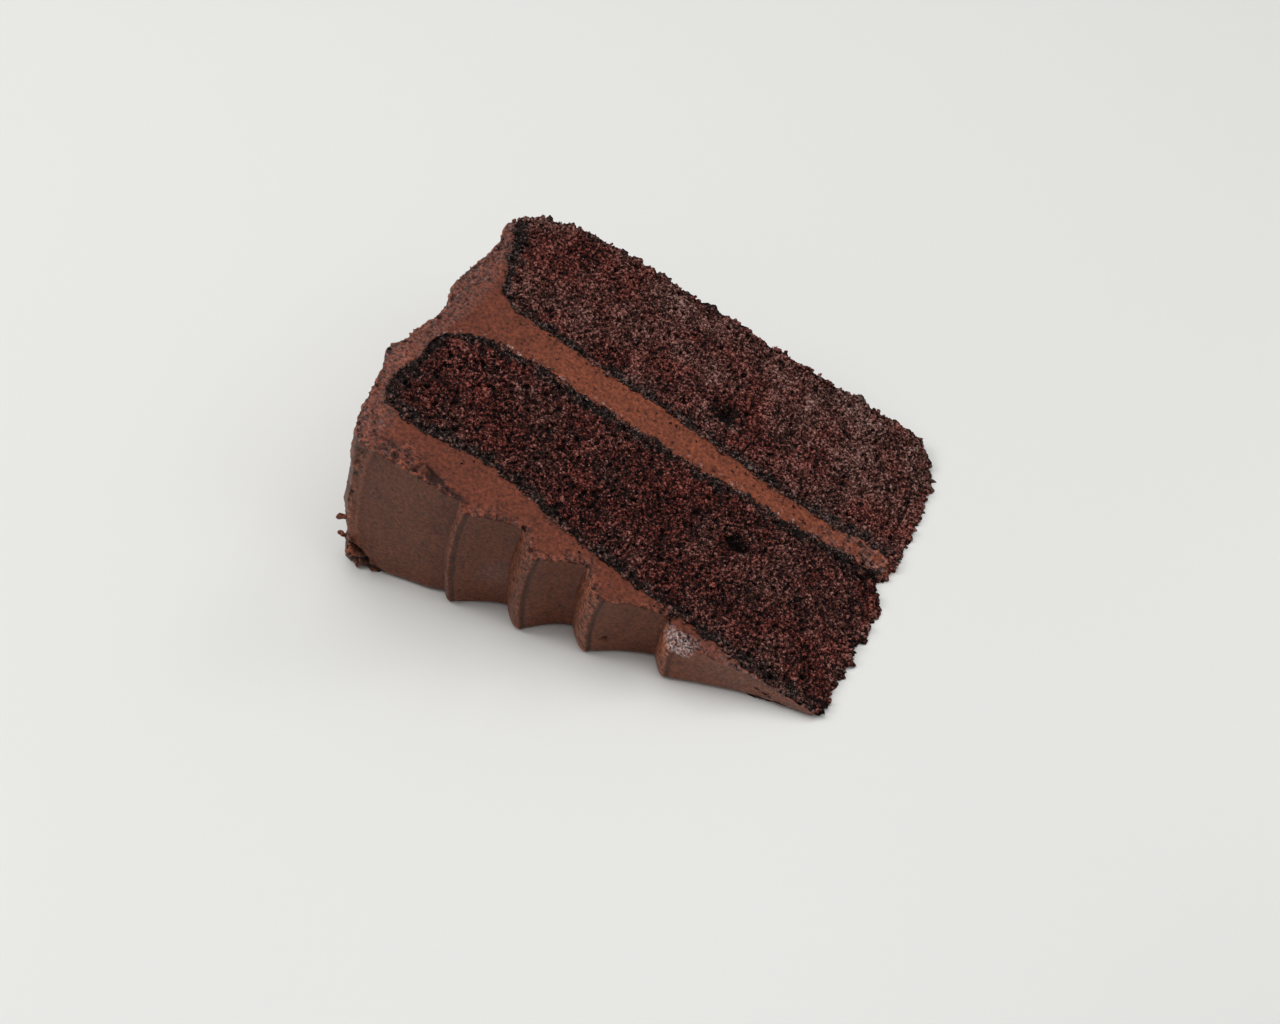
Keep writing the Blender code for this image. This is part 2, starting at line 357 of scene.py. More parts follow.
def sponge_material():
    """Baked cocoa sponge, torn by the knife: dull, moist granules and gaps, drawn nearly black by
    painted shade.
    """
    material, tree, shader = new_material("torn cocoa sponge")
    where = add_node(tree, "ShaderNodeTexCoord").outputs["Object"]
    relief, own, crust, painted_sheen = (
        add_node(tree, "ShaderNodeAttribute", {"attribute_name": name}).outputs["Fac"]
        for name in ("relief", "granule", "crust", "painted_sheen"))
    speck, sheen_spots, patch, sparkle = (
        add_node(tree, "ShaderNodeTexNoise", {"Scale": 1 / (size * MM), "Detail": detail,
                                              "Roughness": broken}, {"Vector": where}).outputs["Fac"]
        for size, detail, broken in ((SPECK, 5.0, 0.8), (SHEEN_SPOT, 3.0, 0.7),
                                     (SHEEN_PATCH, 3.0, 0.5), (SPARKLE, 1.0, 0.5)))
    bits = add_node(tree, "ShaderNodeTexVoronoi", {"Scale": 1 / (BIT * MM)}, {"Vector": where})
    # The stored relief carries painted shade and light: sunk crumb is drawn darker, raised crumb
    # lighter.
    tone = relief
    for share, part in ((GRANULE_TONE, own), (BIT_TONE, bits.outputs["Distance"]),
                        (SPECK_CONTRAST, speck)):
        tone = add_node(tree, "ShaderNodeMath", {"operation": "MULTIPLY_ADD", 1: share},
                        {0: part, 2: tone}).outputs[0]
    tone = add_node(tree, "ShaderNodeMath", {"operation": "ADD", 1: TONE_SHIFT},
                    {0: tone}).outputs[0]
    painted = []
    for colours in (SPONGE_COLOURS, PAINTED_SHEEN_COLOURS, CRUST_COLOURS):
        toned = add_node(tree, "ShaderNodeValToRGB", None, {"Fac": tone})
        fill_ramp(toned, colours)
        painted.append(toned.outputs["Color"])
    crumb, sheened, skin = painted
    # Painted sheen: where it is strong the crumb takes the greyer colours.
    sheen_share = painted_sheen
    for share, part in ((SPOT_SHEEN, sheen_spots), (PATCH_SHEEN, patch)):
        sheen_share = add_node(tree, "ShaderNodeMath", {"operation": "MULTIPLY_ADD", 1: share},
                          {0: part, 2: sheen_share}).outputs[0]
    sheen_share = add_node(tree, "ShaderNodeMapRange", {1: SHEEN_LEVELS[0], 2: SHEEN_LEVELS[1]},
                      {0: sheen_share}).outputs[0]
    greyer = add_node(tree, "ShaderNodeMix", {"data_type": "RGBA"},
                      {0: sheen_share, 6: crumb, 7: sheened}).outputs[2]
    baked = add_node(tree, "ShaderNodeMix", {"data_type": "RGBA"},
                     {0: crust, 6: greyer, 7: skin}).outputs[2]
    # Painted highlights: pale glint specks in the base colour.
    glint = add_node(tree, "ShaderNodeMapRange", {1: GLINT_LEVELS[0], 2: GLINT_LEVELS[1], 3: 0.0,
                                                  4: GLINT_SHARE}, {0: sparkle}).outputs[0]
    colour = add_node(tree, "ShaderNodeMix", {"data_type": "RGBA", 7: linear(GLINT_COLOUR)},
                      {0: glint, 6: baked}).outputs[2]
    bump = add_node(tree, "ShaderNodeBump", {"Strength": 0.9, "Distance": CRUMB_BUMP * MM},
                    {"Height": speck})
    tree.links.new(colour, shader.inputs["Base Color"])
    tree.links.new(bump.outputs["Normal"], shader.inputs["Normal"])
    shader.inputs["Roughness"].default_value = 0.6
    shader.inputs["IOR"].default_value = 1.42
    shader.inputs["Specular IOR Level"].default_value = 0.12
    return material


sponge_skin = sponge_material()


def ragged_ends(rho, h, turn, at_base, at_tip, uneven):
    """Torn clumps of crumb along the base and at the tip, more of them towards the upper cut."""
    ragged = 0.35 + 0.65 * turn ** 3
    beside = stacked(rho, 25 * turn, 2)
    h = h + at_base * BASE_RAGGED * ragged * (rough(beside, 5.0) + 0.6 * rough(beside, 2.1))
    beside = stacked(h, 30 * turn, 8)
    rho = rho + at_tip * TIP_RAGGED * (rough(beside, 4.5) + 0.8 * rough(beside, 2.0))
    for clump_h, clump_reach in TIP_CLUMPS:
        rho = rho - at_tip * clump_reach * hill(h - clump_h + uneven, CLUMP_SPREAD)
    return np.maximum(rho, LEAST_RADIUS), h


def baked_skin(from_rim, from_under, from_over, has_base, uneven):
    """Share of blackish baked skin: wide along the frosting, and a thin line at the base."""
    edge = np.minimum(from_rim, from_over if has_base else np.minimum(from_over, from_under))
    crust = 1 - ramp(edge + 2.4 * uneven, 0.5 * CRUST_WIDTH, 1.4 * CRUST_WIDTH)
    if not has_base:
        return crust
    base_crust = BASE_CRUST_SHARE * (1 - ramp(from_under + 1.6 * uneven, *BASE_CRUST))
    return np.maximum(crust, base_crust)


def air_hole(rho, h, hole, uneven):
    """Share of the large air hole at each point, and of the paler floor at one side of it."""
    hole_rho, hole_h, radius = hole
    inside = hill(np.hypot(rho - hole_rho - 0.5, (h - hole_h + 0.3) * 1.3) + uneven, radius)
    return inside, hill(np.hypot(rho - hole_rho + 1.7, h - hole_h - 1.1), 0.5 * radius)


def sponge_layer(name, under, over, end, steps, seams, hole, tone, painted_sheen):
    """One baked layer; seams are the sides, under or over, that lie against frosting.

    A higher tone is lighter crumb, and a higher painted_sheen greys more of it with painted sheen.
    """
    mesh, along, across, turn = block(steps, 1.4)
    rho, h = layer_section(under, over, end, along, across)
    at_base = (across < ON_EDGE) if "under" not in seams else np.zeros(len(along), bool)
    at_tip = along < ON_EDGE
    cut = turn > 1 - ON_EDGE
    lower = turn < ON_EDGE
    h = h + seam_wave(rho, h, turn)
    from_under = np.hypot(rho - seam(under, along)[0], h - seam(under, along)[1])
    from_over = np.hypot(rho - seam(over, along)[0], h - seam(over, along)[1])
    from_rim = (1 - along) * (end[0][1] - TIP_RADIUS)
    rho = crumble(rho, h, turn)
    uneven = rough(stacked(rho, h, 30 * turn), 2.2, 71)
    reach = INTERLOCK * (0.4 + 2.2 * uneven)
    h = h + reach * np.exp(-from_over) * (1 - at_base) - reach * np.exp(-from_under) * (1 - at_base)
    rho = rho + reach * np.exp(-from_rim)
    rho, h = ragged_ends(rho, h, turn, at_base, at_tip, uneven)
    at = placed(rho, h, turn)
    moved(mesh, at)
    face_outward(mesh)
    normals = outward(mesh, cut & ~at_base & ~at_tip)
    bare = cut | at_base | at_tip
    relief = np.zeros(len(along))
    own = np.zeros(len(along))
    relief[bare], own[bare] = crumb_relief(at[bare])
    crust = baked_skin(from_rim, from_under, from_over, at_base.any(), uneven)
    in_hole, hole_floor = (cut * share for share in air_hole(rho, h, hole, uneven))
    depth = np.where(cut | at_tip, 1.0, 0.5)
    lift = np.where(bare, relief * depth - HOLE_DEPTH * in_hole, 0.0)
    at = at + normals * lift[:, None]
    at[:, 2] = np.where(lower, 0.0, np.maximum(at[:, 2], FLOOR_GAP))
    moved(mesh, at)
    # Sunk crumb is stored darker and raised crumb lighter, as painted shade and painted light.
    shown = tone + 0.5 * relief - HOLE_DARKER * in_hole + HOLE_PALER * hole_floor
    store(mesh, "relief", np.where(bare, shown, 0.5))
    store(mesh, "granule", own)
    store(mesh, "crust", CRUST_SHARE * np.where(bare, crust, 1.0))
    # Painted sheen, stronger towards the tip, along the base and on the hole's floor.
    towards_tip = TIP_SHEEN * (1 - ramp(rho, *TIP_GREY))
    towards_base = BASE_SHEEN * (1 - across) * at_base.any() * (1 - ramp(rho, *BASE_GREY))
    store(mesh, "painted_sheen", painted_sheen + towards_tip + towards_base + HOLE_SHEEN * hole_floor)
    mesh.shade_smooth()
    mesh.materials.append(sponge_skin)
    piece = as_piece(name + "_crumb", mesh)
    thin_hidden(piece, ~bare, SPONGE_TRIANGLES)
    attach(piece, "root")
    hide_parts(name)


sponge_layer("sponge_bottom", BASE_LINE, FILLING_UNDERSIDE, SPONGE_BOTTOM_END, SPONGE_STEPS,
             ("over",), SPONGE_HOLE, tone=0.41, painted_sheen=0.25)

# Sponge, top layer.
# The second layer from the same batch, laid on the filling. Its top is domed down towards the rim.
FILLING_TOP = ((3.2, 47.2), (28, 48.0), (60, 48.6), (90, 48.0), (108.4, 47.6),
               (118.4, 49.6), (123.3, 53.2), (126.0, 58.7))
SPONGE_TOP_LINE = ((3.2, 91.3), (18, 92.0), (37.4, 89.8), (60.6, 87.5), (75, 85.2),
                   (91, 81.4), (100, 80.6), (115.2, 82.0), (126.0, 80.2))
SPONGE_TOP_END = ((58.7, 126.0), (63.8, 125.6), (71.0, 127.4), (77.0, 127.6), (80.2, 126.0))
TOP_SPONGE_HOLE = (38.6, 62.5, 2.6)
TOP_SPONGE_STEPS = (460, 148, 30)

sponge_layer("sponge_top", FILLING_TOP, SPONGE_TOP_LINE, SPONGE_TOP_END, TOP_SPONGE_STEPS,
             ("under", "over"), TOP_SPONGE_HOLE, tone=0.31, painted_sheen=0.14)

# Frosting coat.
# Whipped chocolate frosting, spread over the rim with a spatula and ringed on top with its tip
# while the cake turned. It dries to a darker, greyer skin, and the knife bares its redder inside.
FILLING_END = ((32.3, 119.6), (42.0, 121.0), (50.0, 123.4), (58.7, 126.0))
RIM_LINE = ((12.3, 128.2), (20, 127.0), (34, 129.2), (48, 128.6), (60, 130.4),
            (74, 130.9), (84, 129.6), (92.2, 127.6))
RING_CRESTS = ((96.6, 96.0), (77.6, 96.9), (60.4, 96.8), (40.8, 96.2))    # rho, h
RING_FEET = ((83.4, 91.3), (66.5, 90.9), (45.0, 91.2), (18.0, 92.9))      # rho, h
LIP_START = 99.0
FLAT_HEIGHT = 94.0
FLAT_END = 124.6
RING_SAG = 1.6
TOP_AT_TIP = 93.0
BULGE = 2.3
BULGE_HEIGHT = 66.5
BULGE_SPREAD = 3.6
TORN_DEPTH = 2.8
CORNER = (122.0, 124.0)              # the top turns rough over these radii
BEAD = (121.6, 0.6, 0.3)             # rho, width and height of the bead just before that
TEAR_CORNER = (125.5, 91.0)          # rho and h of the corner that is torn
TEAR_REACH = 8.8                     # the tear starts this far in from it
TEAR_SLOPE = 0.84
TEAR_END = (10.5, 15.0)              # heights over the floor between which it fades out
TEAR_UNDER = (83.0, 90.0)            # and the same for h, down the rim
CAVITY = (120.2, 94.0, 2.0)          # rho, h and height over the floor
CAVITY_DEPTH = 2.0
DARK_DOT = (56.5, 6.0)               # rho and height over the floor
DOT_DEPTH = 0.9
SMUDGE_RHO = 40.4                    # a touch left a shiny flat on the last ridge
SMUDGE_WIDTH = (3.4, 5.2)            # its edge fades out between these
SMUDGE_TOP = 96.4
SMUDGE_DEPTH = 2.6
SMUDGE_REACH = 4.5                   # how far it runs along the ridge from the upper cut
SHINE_HEIGHT = (3.0, 4.6)            # its shine, a clear coat with painted highlights, fades out over these, down and along
SHINE_REACH = (3.2, 4.2)
LOBE_RHO = 127.6                     # the coat swells where the filling runs into it
LOBE_LIFT = 0.7
# Painted highlights, with a glossy coat: a patch of pale specks on the skin.
GLINT_PATCH = (86.5, 12.5, 4.5, 0.13)       # rho, height over the floor, spread and share
TIP_GLINTS = (20, 44)                  # radii up to which the slice has painted highlights, and its share
TIP_GLINT_SHARE = 0.16
# Painted highlights, with a thin glossy coat, on the worn cut.
OILY_CUT_GLINTS = 0.12
SMOOTH_RIM = 0.08                    # how torn the rim is away from its edges
TORN_RIM = 0.5                       # and how much more at them
RIM_EDGE = (1.5, 6.0)                # distances from the upper cut over which that fades
RIM_TOP = (93.0, 5.0)                # h and spread of the torn band under the top
SKIRT_DROP = 0.9                     # the top sinks in where it meets the lower cut
SKIRT_HEIGHT = 2.2
RAGGED_EDGE = 0.6                    # unevenness of the sliced edge
STEP_GRIT = 0.25                     # share of the rim's grit on the steps
GRIT_DEPTH = 0.7
FOLD_DEPTH = 3.4                     # folds of the torn corner
RIP_LIFT = 1.0                       # lifted rim and groove at the tear's edge
RIP_DEPTH = 1.7
RIP_END = (8.5, 11.0)                # heights over the floor between which they fade out
LIP_BAND = (96.9, 99.8)              # radii of the dip before the first ridge, darkened by painted shade
CLEAN_CUT = (105, 115)               # radii over which the knife's cut turns cleaner
RIM_CRUMBLED = (118, 126)            # radii over which the cut frosting turns crumbly again
TIP_CRUMBLED = (14, 34)
TIP_LIGHTER = (37, 46)
# Steps beyond these radii take less of the lighter step colour: painted shade.
STEPS_DARKER = (66, 72)
RIM_WAVES = 0.9
RIM_FLATNESS = 1.3
RIM_WAVE_PITCH = 9.0
TOP_WAVES = 0.15
FROSTING_STEPS = (600, 30, 96)
FROSTING_TRIANGLES = 194000
SCARS = (((110.3, 89.5), (101.9, 92.4), 0.4, 0.85), ((103.0, 92.2), (96.5, 93.0), 0.45, 0.6),
         ((124.0, 90.0), (117.0, 89.6), 0.5, 0.5))    # from rho, h; to rho, h; width; depth
CHIP = (106.9, 92.0, 1.5, 0.8)       # rho, h, width and depth
TOP_SHARE = 0.6                      # share of the steps that lie on the top
FROSTING_SKIN = "#6c3a24"
FROSTING_STEP = "#8b523c"
FROSTING_CUT = "#6e3725"
FILLING_CUT = "#7e402a"
# Painted highlights: pale specks mixed into the coat's colour where it shines.
FROSTING_GLINT_COLOUR = "#c9aeac"
GRAIN = 0.9                          # real grain is finer; drawn as coarse as it needs to show
BLOB = 1.1
CLOUD = 6.0
SHINE_SPOT = 0.6
SHADE_LEVELS = (0.05, 0.75)          # stored relief, from sunk to raised
SHADES = (0.2, 1.37)                 # and how dark and light they are drawn, as painted shade in hollows and painted light on raised bits
GRAIN_CONTRAST = 3.2
WORN_CONTRAST = 4.5                  # what wear adds to it
CLOUD_SHADES = (0.9, 1.1)
PIT_LEVELS = (0.66, 0.76)            # painted shade of small pits, of which wear opens more
PIT_SHADE = 0.35
WORN_PITS = 0.14
SHINE_LEVELS = (0.47, 0.58)
SKIN_ROUGHNESS = 0.45
CUT_ROUGHNESS = 0.7
GRAIN_BUMP = 0.12
# Painted shade over the torn corner.
TORN_DARKER = 0.17                   # what places add to the stored relief, or take from it
# Painted shade in the knife's grooves and chipped notch.
SCAR_DARKER = 0.3
# Painted shade in the dip before the first ridge.
LIP_DARKER = 0.12
# Painted shadow in the thin line behind each crest.
CREST_DARKER = 0.42
RIM_DARKER = 0.12
# Painted light on the skin towards the tip.
TIP_PALER = 0.15
STEP_WEAR = 0.55
RIM_WEAR = 0.6
RIM_CUT_WEAR = 0.62
TIP_CUT_WEAR = 0.7
SPREAD_SMOOTH = 0.4                  # the rim is smoother away from its edges
LIP_DIP = 0.7                        # the flat band sinks a little before the first ridge
CREST_GROOVE = 0.35                  # the spatula's edge has sunk in behind each crest
BEVEL = (0.26, -0.70, 0.66)          # square to the flat that a touch left on the last ridge


def swirl_height(rho):
    """Height of the frosted top at a distance from the cake's axis."""
    turn_down = np.clip(rho - FLAT_END, 0, None) / (RIM_LINE[-1][1] - FLAT_END)
    height = FLAT_HEIGHT - (FLAT_HEIGHT - RIM_LINE[-1][0]) * turn_down ** 2
    height = height - LIP_DIP * hill(rho - LIP_START, 3.2)
    outer, outer_height = LIP_START, FLAT_HEIGHT - LIP_DIP
    for (crest, crest_height), (foot, foot_height) in zip(RING_CRESTS, RING_FEET):
        rise = np.sin(np.clip((outer - rho) / (outer - crest), 0, 1) * math.pi / 2)
        height = np.where(rho < outer, outer_height + (crest_height - outer_height) * rise, height)
        across = np.clip((rho - foot) / (crest - foot), 0, 1) ** RING_SAG
        height = np.where(rho < crest, foot_height + (crest_height - foot_height) * across, height)
        height = height - CREST_GROOVE * hill(rho - crest + 0.8, 0.5)
        outer, outer_height = foot, foot_height
    to_tip = outer_height + (TOP_AT_TIP - outer_height) * (outer - rho) / outer
    return np.where(rho < outer, to_tip, height)


def on_step(rho):
    """1 on the steep rough faces that the spatula's tip left, 0 on the smooth bands."""
    outers = (LIP_START,) + tuple(foot for foot, _ in RING_FEET)
    steps = np.zeros(len(rho))
    for (crest, _), outer in zip(RING_CRESTS, outers):
        steps = np.maximum(steps, ramp(rho, crest - 0.25, crest + 0.1)
                           * (1 - ramp(rho, outer - 0.6, outer + 0.2)))
    return steps


def drawn_to_crests(along):
    """Draw the grid's lines together at the crests and feet, so that they stay crisp."""
    step = 1 / FROSTING_STEPS[0]
    reach = 3.0
    for rho, _ in RING_CRESTS + RING_FEET[:-1]:
        mark = TOP_SHARE * (rho - TIP_RADIUS) / (SPONGE_TOP_LINE[-1][0] - TIP_RADIUS)
        away = (along - mark) / step
        close = np.sign(away) * reach * (np.abs(away) / reach) ** 2
        along = np.where(np.abs(away) < reach, mark + step * close, along)
    return along


def inner_line(along):
    """Inside of the coat: over the top sponge, down the rim past the filling to the base."""
    top = np.clip(along / TOP_SHARE, 0, 1)
    rho, h = seam(SPONGE_TOP_LINE, top)
    down = np.clip((along - TOP_SHARE) / (1 - TOP_SHARE), 0, 1)
    start, stop = SPONGE_TOP_END[-1][0], SPONGE_BOTTOM_END[0][0]
    level = start + (stop - start) * down
    joined = SPONGE_BOTTOM_END + FILLING_END[1:] + SPONGE_TOP_END[1:]
    on_rim = along > TOP_SHARE
    return np.where(on_rim, through(joined, level), rho), np.where(on_rim, level, h)


def frosting_section(along, across):
    """Point of the coat's section: along from tip to rim and down, across from the inside out."""
    rho_in, h_in = inner_line(along)
    down = np.clip((along - TOP_SHARE) / (1 - TOP_SHARE), 0, 1)
    level = RIM_LINE[-1][0] + (RIM_LINE[0][0] - RIM_LINE[-1][0]) * down
    on_rim = along >= TOP_SHARE
    top_rho = np.minimum(rho_in, RIM_LINE[-1][1])
    rho_out = np.where(on_rim, through(RIM_LINE, level), top_rho)
    h_out = np.where(on_rim, level, swirl_height(top_rho))
    return rho_in + (rho_out - rho_in) * across, h_in + (h_out - h_in) * across


def frosting_material():
    """Whipped cocoa frosting: a satin, faintly grained skin, and a softer, redder cut."""
    material, tree, shader = new_material("whipped cocoa frosting")
    where = add_node(tree, "ShaderNodeTexCoord").outputs["Object"]
    cut, step, relief, grease_and_glints, worn, fresh = (
        add_node(tree, "ShaderNodeAttribute", {"attribute_name": name}).outputs["Fac"]
        for name in ("cut", "step", "relief", "grease_and_glints", "worn", "fresh"))
    grain, blobs, cloud, shine = (
        add_node(tree, "ShaderNodeTexNoise", {"Scale": 1 / (size * MM), "Detail": detail,
                                              "Roughness": broken}, {"Vector": where}).outputs["Fac"]
        for size, detail, broken in ((GRAIN, 4.0, 0.7), (BLOB, 1.0, 0.5), (CLOUD, 3.0, 0.5),
                                     (SHINE_SPOT, 3.0, 0.8)))
    inside = add_node(tree, "ShaderNodeMix", {"data_type": "RGBA", 6: linear(FROSTING_CUT),
                                              7: linear(FILLING_CUT)}, {0: fresh}).outputs[2]
    skin = add_node(tree, "ShaderNodeMix", {"data_type": "RGBA", 6: linear(FROSTING_SKIN),
                                            7: linear(FROSTING_STEP)}, {0: step}).outputs[2]
    base = add_node(tree, "ShaderNodeMix", {"data_type": "RGBA"},
                    {0: cut, 6: skin, 7: inside}).outputs[2]
    # Sunk relief is drawn darker and raised relief lighter: painted shade and painted light.
    sunk = add_node(tree, "ShaderNodeMapRange", {1: SHADE_LEVELS[0], 2: SHADE_LEVELS[1],
                                                 3: SHADES[0], 4: SHADES[1]}, {0: relief}).outputs[0]
    contrast = add_node(tree, "ShaderNodeMath", {"operation": "MULTIPLY_ADD", 1: WORN_CONTRAST,
                                                 2: GRAIN_CONTRAST}, {0: worn}).outputs[0]
    mottle = add_node(tree, "ShaderNodeMath", {"operation": "SUBTRACT", 1: 0.5},
                      {0: grain}).outputs[0]
    mottle = add_node(tree, "ShaderNodeMath", {"operation": "MULTIPLY_ADD", 2: 1.0},
                      {0: mottle, 1: contrast}).outputs[0]
    drift = add_node(tree, "ShaderNodeMapRange", {1: 0.3, 2: 0.7, 3: CLOUD_SHADES[0],
                                                  4: CLOUD_SHADES[1]}, {0: cloud}).outputs[0]
    # Painted shade of small pits, with more of them where the coat is worn.
    dark = add_node(tree, "ShaderNodeMath", {"operation": "MULTIPLY_ADD", 1: WORN_PITS},
                    {0: worn, 2: blobs}).outputs[0]
    dark = add_node(tree, "ShaderNodeMapRange", {1: PIT_LEVELS[0], 2: PIT_LEVELS[1], 3: 1.0,
                                                 4: PIT_SHADE}, {0: dark}).outputs[0]
    shade = sunk
    for part in (mottle, drift, dark):
        shade = add_node(tree, "ShaderNodeMath", {"operation": "MULTIPLY"},
                         {0: shade, 1: part}).outputs[0]
    colour = add_node(tree, "ShaderNodeVectorMath", {"operation": "SCALE"},
                      {0: base, "Scale": shade}).outputs[0]
    satin = add_node(tree, "ShaderNodeMapRange", {1: 0.0, 2: 1.0, 3: SKIN_ROUGHNESS,
                                                  4: CUT_ROUGHNESS}, {0: cut}).outputs[0]
    height = add_node(tree, "ShaderNodeMath", {"operation": "MULTIPLY"},
                      {0: grain, 1: contrast}).outputs[0]
    bump = add_node(tree, "ShaderNodeBump", {"Strength": 0.7, "Distance": GRAIN_BUMP * MM},
                    {"Height": height})
    # Painted highlights: pale specks where the coat is greasy and glossy; the same share sets the
    # clear coat.
    shine = add_node(tree, "ShaderNodeMapRange", {1: SHINE_LEVELS[0], 2: SHINE_LEVELS[1]},
                     {0: shine}).outputs[0]
    shine = add_node(tree, "ShaderNodeMath", {"operation": "MULTIPLY"},
                     {0: shine, 1: grease_and_glints}).outputs[0]
    colour = add_node(tree, "ShaderNodeMix", {"data_type": "RGBA", 7: linear(FROSTING_GLINT_COLOUR)},
                      {0: shine, 6: colour}).outputs[2]
    tree.links.new(colour, shader.inputs["Base Color"])
    tree.links.new(satin, shader.inputs["Roughness"])
    tree.links.new(bump.outputs["Normal"], shader.inputs["Normal"])
    tree.links.new(grease_and_glints, shader.inputs["Coat Weight"])
    shader.inputs["Coat Roughness"].default_value = 0.25
    shader.inputs["IOR"].default_value = 1.45
    shader.inputs["Specular IOR Level"].default_value = 0.3
    return material


frosting_look = frosting_material()


def sliced_relief(points, worn):
    """Relief of sliced frosting: nearly smooth, but dragged, pitted and crumbly where it is worn."""
    even = 0.10 * rough(points, 2.2, 3) + 0.05 * rough(points, 0.9, 9)
    torn = 0.6 * rough(points, 1.5, 21) + 0.45 * rough(points, 0.7, 33)
    pits = np.clip(rough(points, 1.3, 45) - 0.2, 0, 1) * 1.8
    holes = np.clip(rough(points, 0.9, 77) - 0.5, 0, 1) * 1.5
    return even + worn * (torn - pits) - holes


def scars(rho, h, points):
    """Depth of the marks that the knife dragged along the cut: bent grooves and a chipped notch."""
    wander = 0.9 * rough(points, 2.4, 95)
    depth = CHIP[3] * hill(np.hypot((rho - CHIP[0]) * 0.8, h - CHIP[1]) + 0.5 * wander, CHIP[2])
    for start, stop, width, deep in SCARS:
        along = np.clip((rho - stop[0]) / (start[0] - stop[0]), 0, 1)
        line = stop[1] + (start[1] - stop[1]) * along
        inside = ramp(along, 0.0, 0.1) * (1 - ramp(along, 0.9, 1.0))
        depth += deep * inside * hill(h - line + wander, width)
    return depth


# The plain coat, with its ridges, worn tip and wavy rim.
mesh, along, across, turn = block(FROSTING_STEPS, 1.15)
along = drawn_to_crests(along)
rho, h = frosting_section(along, across)
skin_rho, skin_h = frosting_section(along, np.ones(len(along)))
bed_rho, bed_h = frosting_section(along, np.zeros(len(along)))
depth_in = np.hypot(rho - skin_rho, h - skin_h)
above_bed = np.hypot(rho - bed_rho, h - bed_h)
thick = np.maximum(depth_in + above_bed, 0.5)
outer = across > 1 - ON_EDGE
cut = turn > 1 - ON_EDGE
lower = turn < ON_EDGE
skin = outer & ~cut
on_rim = ramp(along, TOP_SHARE * 0.985, TOP_SHARE)
tuck = INTERLOCK * np.exp(-above_bed)
rho = rho - tuck * (skin_rho - bed_rho) / thick
h = h - tuck * (skin_h - bed_h) / thick
h = h + seam_wave(rho, h, turn) * (1 - across)
step_face = on_step(skin_rho) * (1 - on_rim)
corner = ramp(skin_rho + 1.5 * rough(stacked(skin_rho, 40 * turn, 9), 3.0), *CORNER)
near_cut = (1 - turn) * SLICE_ANGLE * rho
rim_edge = np.maximum(hill(h - RIM_TOP[0], RIM_TOP[1]), 1 - ramp(near_cut, *RIM_EDGE))
rim_rough = np.maximum(corner * (1 - on_rim), on_rim * (SMOOTH_RIM + TORN_RIM * rim_edge))
rho = crumble(rho, h, turn)
waves = RIM_WAVES * rough(stacked(h, 45 * turn, 5), RIM_WAVE_PITCH)
lump = BULGE * hill(h - BULGE_HEIGHT, BULGE_SPREAD) * hill(1 - turn, 0.3)
rho = rho + on_rim * across * (waves + lump - RIM_FLATNESS * np.sin(math.pi * turn))
h = h + (1 - on_rim) * across * TOP_WAVES * rough(stacked(rho, 40 * turn, 6), RIM_WAVE_PITCH)
above_floor = skin_rho * np.sin(SLICE_ANGLE * turn)
h = h - (1 - on_rim) * across * SKIRT_DROP * np.clip(1 - above_floor / SKIRT_HEIGHT, 0, 1) ** 2

# The torn corner by the lower cut, and the ragged edge of the upper one.
from_rim = skin_rho - TEAR_CORNER[0] + np.clip(TEAR_CORNER[1] - skin_h, 0, None)
tear = (from_rim + TEAR_REACH - TEAR_SLOPE * above_floor) / 1.4
torn = ramp(tear, -2.0, 0.3) * (1 - ramp(above_floor, *TEAR_END)) * ramp(skin_h, *TEAR_UNDER)
torn = np.clip(torn * (1.1 + rough(stacked(skin_rho, skin_h, above_floor), 3.0, 97)), 0, 1)
h = h + (1 - on_rim) * across * 0.5 * torn
rho = rho - rim_rough * across * TORN_DEPTH * 0.3 * torn
edge_noise = rough(stacked(rho, h, 40), 1.6, 83) + 0.6 * rough(stacked(rho, h, 40), 0.8, 87)
ragged_edge = (cut & outer) * RAGGED_EDGE * edge_noise
h = h + (1 - on_rim) * ragged_edge
rho = rho + on_rim * ragged_edge
at = placed(rho, h, turn)
moved(mesh, at)
face_outward(mesh)
normals = outward(mesh, cut & ~outer)

# Relief of the sliced face: the knife's drag and its marks.
relief = np.zeros(len(along))
worn = np.zeros(len(along))
edge_band = (1 - 0.55 * ramp(rho[cut], *CLEAN_CUT)) * depth_in[cut]
worn[cut] = 1 - ramp(edge_band + 3.0 * rough(at[cut], 4.5, 15), 0.8, 3.6)
scar = np.zeros(len(along))
scar[cut] = scars(rho[cut], h[cut], at[cut])
relief[cut] = sliced_relief(at[cut], worn[cut]) - scar[cut]

# Relief of the skin: grit on the steps, strokes on the rim, and folds where it is torn.
grit = np.maximum(STEP_GRIT * step_face, rim_rough)[skin]
texture = 0.8 * rough(at[skin], 2.0, 61) + 0.5 * rough(at[skin], 1.2, 63)
strokes = rough(stacked(h, 9 * turn, 0)[skin], 2.6, 65)
relief[skin] = 0.04 * rough(at[skin], 2.5, 67) + grit * GRIT_DEPTH * texture
relief[skin] += (0.2 + 0.2 * rim_rough[skin]) * on_rim[skin] * strokes
relief[skin] += 0.7 * rim_rough[skin] * rough(at[skin], 4.5, 79)
bead = BEAD[2] * hill(skin_rho[skin] - BEAD[0] + 0.5 * texture, BEAD[1])
relief[skin] += bead * (1 - on_rim[skin])
folds = FOLD_DEPTH * (0.26 - np.abs(rough(at[skin], 3.4, 69))) + 1.0 * rough(at[skin], 1.4, 73)
relief[skin] += torn[skin] * folds * (1 - 0.65 * on_rim[skin])
rip = tear[skin] + 0.9 * texture
held = (1 - ramp(above_floor, *RIP_END))[skin] * (1 - on_rim[skin])
